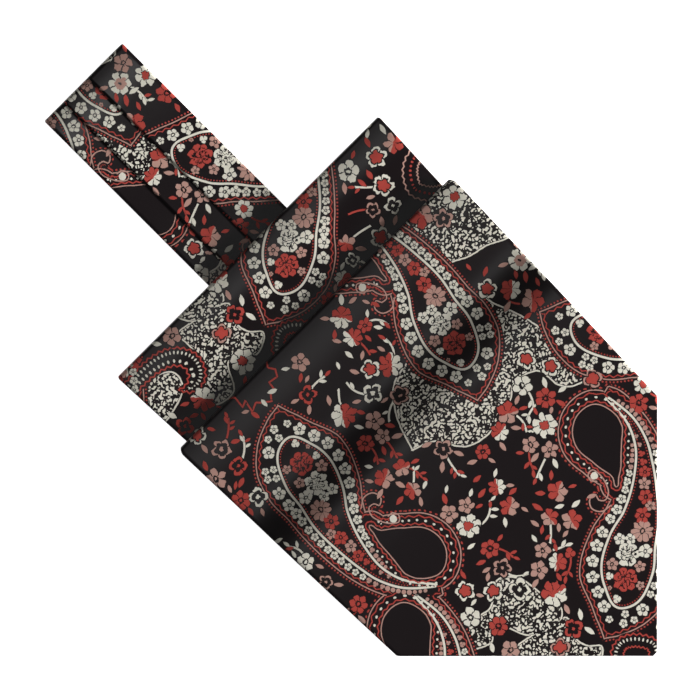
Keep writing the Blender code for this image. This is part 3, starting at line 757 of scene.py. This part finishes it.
def band_lift(x, s, up):
    """Height of the pleats on the upper run, with the swell of each panel added."""
    share = np.clip((up - 0.2) / 0.6, 0.0, 1.0)
    first, second = PLEAT_EDGES
    middle = PLEAT_STEP - PLEAT_FALL * (x - first) / (second - first)
    last = 2.0 * PLEAT_STEP - PLEAT_FALL - PLEAT_FALL * (x - second) / (BAND_HALF_WIDTH - second)
    pleats = np.where(x < first - 0.02 * MM, 0.0, np.where(x < second - 0.02 * MM, middle, last))
    return share * (PLEAT_SHARE * pleats + 0.6 * swell(x * 2.0, s))


def band_shift(middle):
    """Each panel between two pleat edges takes its own part of the design."""
    panel = (middle > PLEAT_EDGES[0] - 0.1 * MM).astype(int) + (middle > PLEAT_EDGES[1] - 0.1 * MM)
    table = np.array(PANEL_SHIFTS)
    return table[panel][..., 0], table[panel][..., 1]


band_flat = BAND_HALF_WIDTH - BAND_WALL / 2.0
edge_a, edge_b = (e / band_flat for e in PLEAT_EDGES)
step = STEP_WIDTH / band_flat
band_across = np.concatenate([np.linspace(-1.0, edge_a - step, 11), np.linspace(edge_a, edge_b - step, 15),
                              np.linspace(edge_b, 1.0, 20)])
band_first = fold_start(0.0, 0.0, BAND_WALL, BAND_TURN_RADIUS, BAND_TURN_RISE)[0]
band_lower = runs((BAND_END, 2.4 * MM, CELL))
band_upper = upper_steps(band_first, 110.0 * MM, (110.0 * MM, BAND_END, 4.0 * MM))
band_line = np.vstack([np.stack([band_lower, np.full(len(band_lower), BAND_WALL / 2.0)], axis=1),
                       fold_arc(0.0, 0.0, BAND_WALL, BAND_TURN_RADIUS, BAND_TURN_RISE),
                       below(band_top, BAND_WALL / 2.0, band_upper)])
band_half = BAND_HALF_WIDTH - corner_trim(band_line[:, 0], 0.0, BAND_CORNER)
band = strip("neckband_cloth", band_line, BAND_WALL, band_half, band_across, band_lift, band_shift,
             BAND_MEETS)

# %% [markdown]
# ## Hidden layers
# Between the blades lie the folded shoulders and ends of the scarf. Only their edges show from the side:
# rounded folds of cloth, one above the other, none quite in line. The section across them has one bulge for
# each layer on either side, and each layer's edge wanders a little along its length.

# %% Folded layers
ENDS_START, ENDS_STOP, STACK_START, STACK_TIP = 106.0 * MM, 183.0 * MM, 182.0 * MM, 315.8 * MM
LAYER_GROOVE, SLOT_CLEARANCE = 1.1 * MM, 0.5 * MM
LAYER_INSETS = ((2.4, 3.6), (3.8, 2.2), (2.0, 3.0), (3.4, 4.4), (2.6, 2.0))
EDGE_POINTS = 7


def layer_side(half, bottom, top, insets, s, phase):
    """Edge of a stack of folds from the bottom up: distance from the middle and height of each point."""
    outs, heights = [], []
    thick = (top - bottom) / len(insets)
    for i, inset in enumerate(insets):
        wander = 0.35 * MM * np.sin(s / (19.0 * MM) + 2.1 * i + phase) + 0.2 * MM * np.sin(s / (7.3 * MM) + i)
        edge = half - inset * MM + wander
        for a in np.linspace(-math.pi / 2.0, math.pi / 2.0, EDGE_POINTS)[(1 if i else 0):]:
            outs.append(edge - LAYER_GROOVE * (1.0 - math.cos(a)))
            heights.append(bottom + thick * (i + 0.5 + 0.5 * math.sin(a)))
    return np.stack(outs, axis=1), np.stack(heights, axis=1)


def folded_block(name, s, halves, middle, bottom, top, insets, moved, cells):
    """Closed block of folded cloth: flat underside, layered edges on both sides, smooth top. halves are
    its widths to the right and left of its middle line, and cells how many it has across below and above."""
    right_x, right_z = layer_side(halves[0], bottom, top, [pair[0] for pair in insets], s, 0.0)
    left_x, left_z = layer_side(halves[1], bottom, top, [pair[1] for pair in insets], s, 1.7)
    t = np.linspace(0.0, 1.0, cells[0] + 1)[None]
    u = np.linspace(0.0, 1.0, cells[1] + 1)[None, 1:-1]
    under_x = -left_x[:, :1] + (right_x[:, :1] + left_x[:, :1]) * t
    over_x = right_x[:, -1:] - (right_x[:, -1:] + left_x[:, -1:]) * u
    x = np.hstack([under_x, right_x[:, 1:], over_x, -left_x[:, :0:-1]])
    z = np.hstack([bottom[:, None] + 0.0 * under_x, right_z[:, 1:], top[:, None] + 0.0 * over_x,
                   left_z[:, :0:-1]])
    points = np.stack([x + middle[:, None], station(s)[:, None] + 0.0 * x, z], axis=2)
    walk = np.cumsum(np.hypot(np.diff(x), np.diff(z)), axis=1)
    wide = np.hstack([np.zeros((len(s), 1)), walk]) + x[:, :1]
    corner_x, corner_y = cell_corners(wide, np.hstack([wide[:, 1:], wide[:, -1:] + 1.0 * MM]), s)
    corner_x = (corner_x + moved[0] + 75.0 * MM) % (400.0 * MM) - 75.0 * MM
    return shell_object(name, points, np.stack([corner_x, corner_y + moved[1]], axis=3) / MM)


ground = BLADE_WALL + GAP
step_line = below(rear_top, ground, np.linspace(0.17, 0.22, 60))
stack_s = runs((STACK_START, STACK_START + 1.8 * MM, 0.6 * MM), (STACK_START + 1.8 * MM, STEP_END, 1.4 * MM),
               (STEP_END, STACK_TIP, 1.5 * MM))
far_line = below(front_top, 2.0 * ground, np.linspace(0.19, 0.325, 120))
stack_top = np.where(stack_s < STEP_END, np.interp(stack_s, *step_line.T), np.interp(stack_s, *far_line.T))
stack_top -= 0.9 * MM * np.clip(1.0 - (stack_s - STACK_START) / (1.8 * MM), 0.0, 1.0) ** 2
stack_half = np.minimum(table_value(REAR_WIDTHS, stack_s), REAR_POINT - stack_s)
level = np.zeros(len(stack_s))
stack = folded_block("folded_stack", stack_s, (stack_half, stack_half), level, level, stack_top, LAYER_INSETS,
                     (0.0, 6.0 * MM), (120, 40))

ends_s = runs((ENDS_START, ENDS_START + 1.8 * MM, 0.45 * MM), (ENDS_START + 1.8 * MM, ENDS_STOP, 1.6 * MM))
nose = 0.6 * MM * np.clip(1.0 - (ends_s - ENDS_START) / (1.6 * MM), 0.0, 1.0) ** 2
ends_half = table_value(REAR_WIDTHS, ends_s)
ends_middle = (ends_half + BAND_HALF_WIDTH + SLOT_CLEARANCE) / 2.0
halves = (ends_half - ends_middle, ends_middle - BAND_HALF_WIDTH - SLOT_CLEARANCE)
insets = [(pair[0], 0.0) for pair in LAYER_INSETS[:2]], [(0.0, pair[1]) for pair in LAYER_INSETS[:2]]
ends = [folded_block(name, ends_s, halves[::order], side * ends_middle, nose,
                     BAND_PRESSED_TOP + PLEAT_HEIGHT - nose, rows, (side * 45.0 * MM, 20.0 * MM), (44, 16))
        for name, side, order, rows in (("folded_end_right", 1.0, 1, insets[0]),
                                        ("folded_end_left", -1.0, -1, insets[1]))]

# %% [markdown]
# ## Printed satin
# The cloth is polyester satin: long shiny threads on the face, woven fine, then screen printed. The black
# ground has a soft gloss across the folds, and the inks lie on it a little duller. The material works out
# one number at every point, the ink, and a colour ramp turns it into cloth black, cream, red or dusty pink.

# %% Colours and the node helper
def linear(code):
    """sRGB hex colour to linear red, green, blue and alpha."""
    parts = [int(code[i:i + 2], 16) / 255.0 for i in (1, 3, 5)]
    return tuple(c / 12.92 if c <= 0.04045 else ((c + 0.055) / 1.055) ** 2.4 for c in parts) + (1.0,)


def add(tree, kind, *inputs, **settings):
    """Adds a node. Inputs are links or values in the node's order, and None leaves one as it is. A kind in
    capitals is the operation of a maths node."""
    if kind.isupper():
        kind, settings = "ShaderNodeMath", {"operation": kind}
    node = tree.nodes.new(kind)
    for key, value in settings.items():
        setattr(node, key, value)
    sockets = [socket for socket in node.inputs if socket.enabled]
    for socket, value in zip(sockets, inputs):
        if isinstance(value, bpy.types.NodeSocket):
            tree.links.new(value, socket)
        elif value is not None:
            socket.default_value = value
    outputs = [socket for socket in node.outputs if socket.enabled]
    return outputs[0] if len(outputs) == 1 else node


MIX, VECTOR, NOISE = "ShaderNodeMix", "ShaderNodeVectorMath", "ShaderNodeTexNoise"
VALUES, SPLIT = "ShaderNodeAttribute", "ShaderNodeSeparateXYZ"
# distance from the line, half thickness, pattern, pitch, swing, ink, all sizes in millimetres
EDGE_RAILS = ((1.05, 0.37, "dots", 1.45, 0.0, "red"), (0.0, 0.24, "line", 1.0, 0.0, "pink"),
              (-1.35, 0.25, "zigzag", 3.4, 0.85, "red"))
DROP_RAILS = ((0.0, 0.22, "line", 1.0, 0.0, "pink"), (1.25, 0.28, "zigzag", 3.0, 0.7, "red"),
              (2.75, 0.47, "dots", 2.9, 0.0, "cream"))
COMB_RAILS = ((-0.2, 0.34, "zigzag", 2.6, 0.9, "red"), (-2.1, 0.40, "dashes", 1.9, 0.0, "cream"),
              (-5.2, 0.30, "zigzag", 2.2, 0.7, "red"))
RING_RAILS = ((0.0, 0.30, "zigzag", 2.6, 0.7, "pink"), (-3.0, 0.55, "dots", 2.3, 0.0, "red"),
              (-5.8, 0.30, "zigzag", 2.2, 0.6, "pink"))
INNER_RAILS = ((0.0, 0.46, "line", 1.0, 0.0, "cream"), (-1.15, 0.30, "dots", 1.25, 0.0, "red"))
HOOK_RAILS = ((0.0, 0.26, "line", 1.0, 0.0, "pink"), (1.15, 0.36, "dots", 1.45, 0.0, "red"))
# a motif's edge is at 1 in its own measure, and clear ground shows round it up to the halo
MOTIF_EDGE, MOTIF_HALO = 1.0, 1.16
# in millimetres: clear ground round a boteh and under a comb, and how far inside a boteh its filling starts
BOTEH_CLEARING, COMB_CLEARING, FILLING_EDGE = 1.75, 0.8, -2.0
CREAM, RED, PINK = "#d8d4c6", "#a9433b", "#b48d81"
# the folded layers between the blades take a slightly darker black, a painted shade
SATIN_BLACK, SHADED_FOLD_BLACK = "#150e10", "#130d0f"


# %% Ink of one flower layer, and of one printed line
def flower_ink(put, layer, wobble, veins):
    """Ink of a motif and its reach: petals swing the radius by a cosine of the angle, and a leaf is the
    lens x * x + |y| = 1."""
    place = put(VALUES, attribute_name=layer + " place").outputs["Vector"]
    x, y, _ = put(SPLIT, put(VECTOR, place, wobble, operation="ADD")).outputs
    (petals, depth, core), (ring, half_step, vein), (ink_core, ink_ring, ink_petal) = (
        put(SPLIT, put(VALUES, attribute_name=layer + part).outputs["Vector"]).outputs
        for part in (" petals", " rings", " inks"))
    squared = put("MULTIPLY", x, x)
    radius = put("POWER", put("ADD", squared, put("MULTIPLY", y, y)), 0.5)
    turns = put("MULTIPLY", put("MULTIPLY", put("ARCTAN2", y, x), petals), 0.5)
    lobes = put("ABSOLUTE", put("COSINE", turns))
    notch = put("MULTIPLY", put("SUBTRACT", 1.0, lobes), depth)
    far = put("DIVIDE", radius, put("MULTIPLY_ADD", notch, -1.0, 1.0))
    far = put(MIX, put("COMPARE", petals, 2.0, 0.2), far, put("ADD", squared, put("ABSOLUTE", y)))
    petal = put("ADD", ink_petal, put("MULTIPLY", put("GREATER_THAN", y, 0.1), half_step))
    ink = put(MIX, put("LESS_THAN", far, ring), petal, ink_ring)
    ink = put(MIX, put("LESS_THAN", far, core), ink, ink_core)
    slit = put("MULTIPLY", put("LESS_THAN", lobes, 0.2), put("GREATER_THAN", petals, 2.5))
    slit = put("MULTIPLY", slit, put("GREATER_THAN", far, put("MAXIMUM", ring, 0.22)))
    ink = put(MIX, slit, ink, INK["ground"])
    dark = put("MULTIPLY", put("MULTIPLY", veins, vein), put("LESS_THAN", far, 0.72))
    return put(MIX, dark, ink, INK["ground"]), far


def rail_mask(put, far, along, row):
    """1 on a printed line that follows a curve at a distance: plain, zigzag, dots or dashes."""
    offset, thick, pattern, pitch, swing, _ = row
    away = put("ADD", far, -offset)
    if pattern == "zigzag":
        wave = put("PINGPONG", along, pitch / 2.0)
        away = put("ADD", away, put("MULTIPLY_ADD", wave, 2.0 * swing / pitch, -swing / 2.0))
    if pattern in ("dots", "dashes"):
        spot = put("ADD", put("FLOORED_MODULO", along, pitch), -pitch / 2.0)
        away = put("MULTIPLY", away, 0.55) if pattern == "dashes" else away
        away = put("POWER", put("ADD", put("MULTIPLY", spot, spot), put("MULTIPLY", away, away)), 0.5)
    return put("LESS_THAN", put("ABSOLUTE", away), thick)


def rails(put, ink, far, along, rows, mask):
    """The ink with a set of printed lines over it, where the mask is 1."""
    for row in rows:
        ink = put(MIX, put("MULTIPLY", rail_mask(put, far, along, row), mask), ink, INK[row[5]])
    return ink


# %% The design's ink at every point
def design_ink(put, mm):
    """Number of the ink at a point of the cloth, built up from the ground to the nearest motif."""
    # the screen's edge is never quite even: a slow wobble bends the motifs, and blots are 1 to 2 mm wide
    shake = put(NOISE, mm, 0.45, 2.0)
    wobble = put(VECTOR, put(VECTOR, shake.outputs["Color"], (0.5, 0.5, 0.5), operation="SUBTRACT"),
                 (0.52, 0.52, 0.0), operation="MULTIPLY")
    side_shift = put("MULTIPLY", put("ADD", shake.outputs["Fac"], -0.5), 0.55)
    veins = put(NOISE, mm, 0.62, 1.0).outputs["Fac"]
    veins = put("LESS_THAN", put("ABSOLUTE", put("ADD", veins, -0.5)), 0.045)
    speckle = put(NOISE, mm, 0.52, 1.0).outputs["Fac"]
    speckle = put("GREATER_THAN", put("ABSOLUTE", put("ADD", speckle, -0.5)), 0.088)

    edge, drop, stroke, marks = (put(SPLIT, put(VALUES, attribute_name=name).outputs["Vector"]).outputs
                                 for name in ("boteh", "drop", "stroke", "marks"))
    edge_far, edge_along, inner_far = edge
    drop_far, drop_along, inner_along = drop
    stroke_far, stroke_along, patch_far = stroke
    is_comb, stroke_kind, _ = marks
    patch_far = put("ADD", patch_far, side_shift)
    edge_far = put("ADD", edge_far, put("MULTIPLY", side_shift, 0.4))

    # speckled grounds with a cream rim
    ink = put(MIX, put("LESS_THAN", patch_far, -0.5), 0.0, speckle)
    ink = put(MIX, put("LESS_THAN", put("ABSOLUTE", patch_far), 0.32), ink, INK["cream"])

    # stems and the torn leaf
    stroke_size = put("ABSOLUTE", stroke_far)
    for mark, thick, colour in ((CREAM_STEM, 0.42, "cream"), (RED_STEM, 0.38, "red"),
                                (RED_ZIGZAG, 0.36, "red")):
        mask = put("MULTIPLY", put("LESS_THAN", stroke_size, thick), put("COMPARE", stroke_kind, mark, 0.2))
        ink = put(MIX, mask, ink, INK[colour])

    # the second nearest motif, with clear ground round it
    next_ink, next_far = flower_ink(put, "next", wobble, veins)
    on_next = put("LESS_THAN", next_far, MOTIF_EDGE)
    ink = put(MIX, put("LESS_THAN", next_far, MOTIF_HALO), ink, INK["ground"])
    ink = put(MIX, on_next, ink, next_ink)

    # botehs and drops clear the ground, then their lines are drawn
    ink = put(MIX, put("LESS_THAN", edge_far, BOTEH_CLEARING), ink, INK["ground"])
    inside = put("LESS_THAN", edge_far, FILLING_EDGE)
    ink = rails(put, ink, edge_far, edge_along, EDGE_RAILS, 1.0)
    ink = rails(put, ink, inner_far, inner_along, INNER_RAILS, inside)
    ink = rails(put, ink, drop_far, drop_along, DROP_RAILS, put("LESS_THAN", is_comb, 0.5))
    under_comb = put("MULTIPLY", put("LESS_THAN", drop_far, COMB_CLEARING), is_comb)
    ink = put(MIX, under_comb, ink, INK["ground"])
    ink = rails(put, ink, drop_far, drop_along, COMB_RAILS, put("COMPARE", is_comb, 1.0, 0.2))
    ink = rails(put, ink, drop_far, drop_along, RING_RAILS, put("COMPARE", is_comb, 2.0, 0.2))
    ink = rails(put, ink, stroke_far, stroke_along, HOOK_RAILS, put("COMPARE", stroke_kind, PINK_HOOK, 0.2))
    ink = put(MIX, put("MULTIPLY", on_next, inside), ink, next_ink)

    # the nearest motif on top
    near_ink, near_far = flower_ink(put, "near", wobble, veins)
    halo = put("MULTIPLY", put("LESS_THAN", near_far, MOTIF_HALO), put("GREATER_THAN", edge_far, 0.0))
    ink = put(MIX, halo, ink, INK["ground"])
    return put(MIX, put("LESS_THAN", near_far, MOTIF_EDGE), ink, near_ink)


# %% The printed satin itself
def printed_satin(name, ground_colour, gloss):
    """Printed satin: soft gloss on the black threads, duller ink, fine crosswise weave."""
    made = bpy.data.materials.new(name)
    made.use_nodes = True
    put = partial(add, made.node_tree)
    link = made.node_tree.links.new
    shader = made.node_tree.nodes["Principled BSDF"].inputs
    mm = put(VECTOR, put("ShaderNodeUVMap", uv_map="cloth"), (1000.0, 1000.0, 1000.0), operation="MULTIPLY")
    ink = design_ink(put, mm)
    ramp = put("ShaderNodeValToRGB", put("MULTIPLY_ADD", ink, 0.25, 0.125))
    stops = ramp.color_ramp
    stops.interpolation = "CONSTANT"
    for place, colour in ((0.25, CREAM), (0.5, RED), (0.75, PINK)):
        stops.elements.new(place).color = linear(colour)
    stops.elements[0].color = linear(ground_colour)
    stops.elements[-1].color = linear(PINK)
    # threads run 0.35 mm apart, drawn at 0.5 mm so that they show
    thread = put(NOISE, put(VECTOR, mm, (0.7, 4.5, 1.0), operation="MULTIPLY"), 1.0, 1.0).outputs["Fac"]
    shade = put("MULTIPLY_ADD", thread, 0.30, 0.85)
    # painted shade: the colour darkens where the cloth faces sideways, on the turned edges and the rounded
    # folds
    _, _, up = put(SPLIT, put("ShaderNodeNewGeometry").outputs["Normal"]).outputs
    shade = put("MULTIPLY", shade, put("MULTIPLY_ADD", put("ABSOLUTE", up), 0.78, 0.22))
    link(put(MIX, 1.0, ramp.outputs["Color"], shade, data_type="RGBA", blend_type="MULTIPLY"),
         shader["Base Color"])
    link(put("MULTIPLY_ADD", put("GREATER_THAN", ink, 0.5), 0.28, gloss), shader["Roughness"])
    link(put("ShaderNodeBump", 0.06, 0.0001, None, thread), shader["Normal"])
    for socket, value in (("Specular IOR Level", 0.35), ("Sheen Weight", 0.02), ("Sheen Roughness", 0.45)):
        shader[socket].default_value = value
    return made


for pieces, name, colour, gloss in (([band], "printed_satin_neckband", SATIN_BLACK, 0.26),
                                    ([rear], "printed_satin_rear", SATIN_BLACK, 0.30),
                                    ([front], "printed_satin_front", SATIN_BLACK, 0.32),
                                    ([stack] + ends, "printed_satin_folded", SHADED_FOLD_BLACK, 0.40)):
    satin = printed_satin(name, colour, gloss)
    for piece in pieces:
        piece.data.materials.append(satin)
    print(name, "nodes:", len(satin.node_tree.nodes))

# %% [markdown]
# ## What each piece stands for
# Each cloth piece is hung under the root, and the model's neckband, blades and hidden layers are hidden.

for piece, node, slot in ((band, "neckband", "neckband_cloth"), (rear, "rear_blade", "rear_blade_cloth"),
                          (front, "front_blade", "front_blade_cloth"),
                          (stack, "hidden_layers", "hidden_cloth")):
    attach(piece, "root")
    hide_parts(node)
for piece in ends:
    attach(piece, "root")


# %% [markdown]
# ## Floor and light
# The scarf lies on a plain white sheet that glows a little, so that no shadow shows round it, as in a shop
# picture. One low softbox at the right of the picture rounds the folds and throws their soft shadows. A
# small light from high above the neckband gives the satin its bands, and the pale room fills in.

# %% Floor
floor_mesh = bpy.data.meshes.new("floor")
floor_mesh.from_pydata([(x, y, -0.0002) for x, y in ((-3, -3), (3, -3), (3, 3), (-3, 3))], [], [(0, 1, 2, 3)])
floor = bpy.data.objects.new("floor", floor_mesh)
bpy.context.scene.collection.objects.link(floor)
paper = bpy.data.materials.new("white_paper")
paper.use_nodes = True
for socket, value in (("Base Color", linear("#f4f4f4")), ("Roughness", 0.9),
                      ("Emission Color", (1.0, 1.0, 1.0, 1.0)), ("Emission Strength", 1.0)):
    paper.node_tree.nodes["Principled BSDF"].inputs[socket].default_value = value
floor_mesh.materials.append(paper)
print("floor corners:", len(floor_mesh.vertices))

# %% Lights
PICTURE_RIGHT = np.array([math.sqrt(0.5), -math.sqrt(0.5)])


def lamp(name, kind, bearing, elevation, distance, power):
    """Lamp that faces the scarf from a bearing, counted from the picture's right, in degrees."""
    turn, lift = math.radians(bearing), math.radians(elevation)
    flat = np.array([math.cos(turn) * PICTURE_RIGHT[0] - math.sin(turn) * PICTURE_RIGHT[1],
                     math.sin(turn) * PICTURE_RIGHT[0] + math.cos(turn) * PICTURE_RIGHT[1]])
    light = bpy.data.objects.new(name, bpy.data.lights.new(name, kind))
    light.data.energy = power
    light.location = (*(flat * math.cos(lift) * distance), math.sin(lift) * distance)
    light.rotation_euler = (0.0, math.pi / 2.0 - lift, math.atan2(flat[1], flat[0]))
    bpy.context.scene.collection.objects.link(light)
    return light


key = lamp("key_softbox", "AREA", 0.0, 10.5, 5.0, 1060.0)
key.data.size = 1.5
# a low light mirrors in satin from the far side, so this one is left out of reflections
key.visible_glossy = False
lamp("satin_light", "SUN", 135.0, 80.3, 5.0, 0.105).data.angle = math.radians(4.0)
world = bpy.data.worlds.new("pale_room")
bpy.context.scene.world = world
world.use_nodes = True
background = world.node_tree.nodes["Background"].inputs
background["Color"].default_value = (1.0, 1.0, 1.0, 1.0)
background["Strength"].default_value = 0.08
bpy.context.scene.view_settings.view_transform = "Standard"
print("key light at, in metres:", [round(v, 2) for v in key.location])
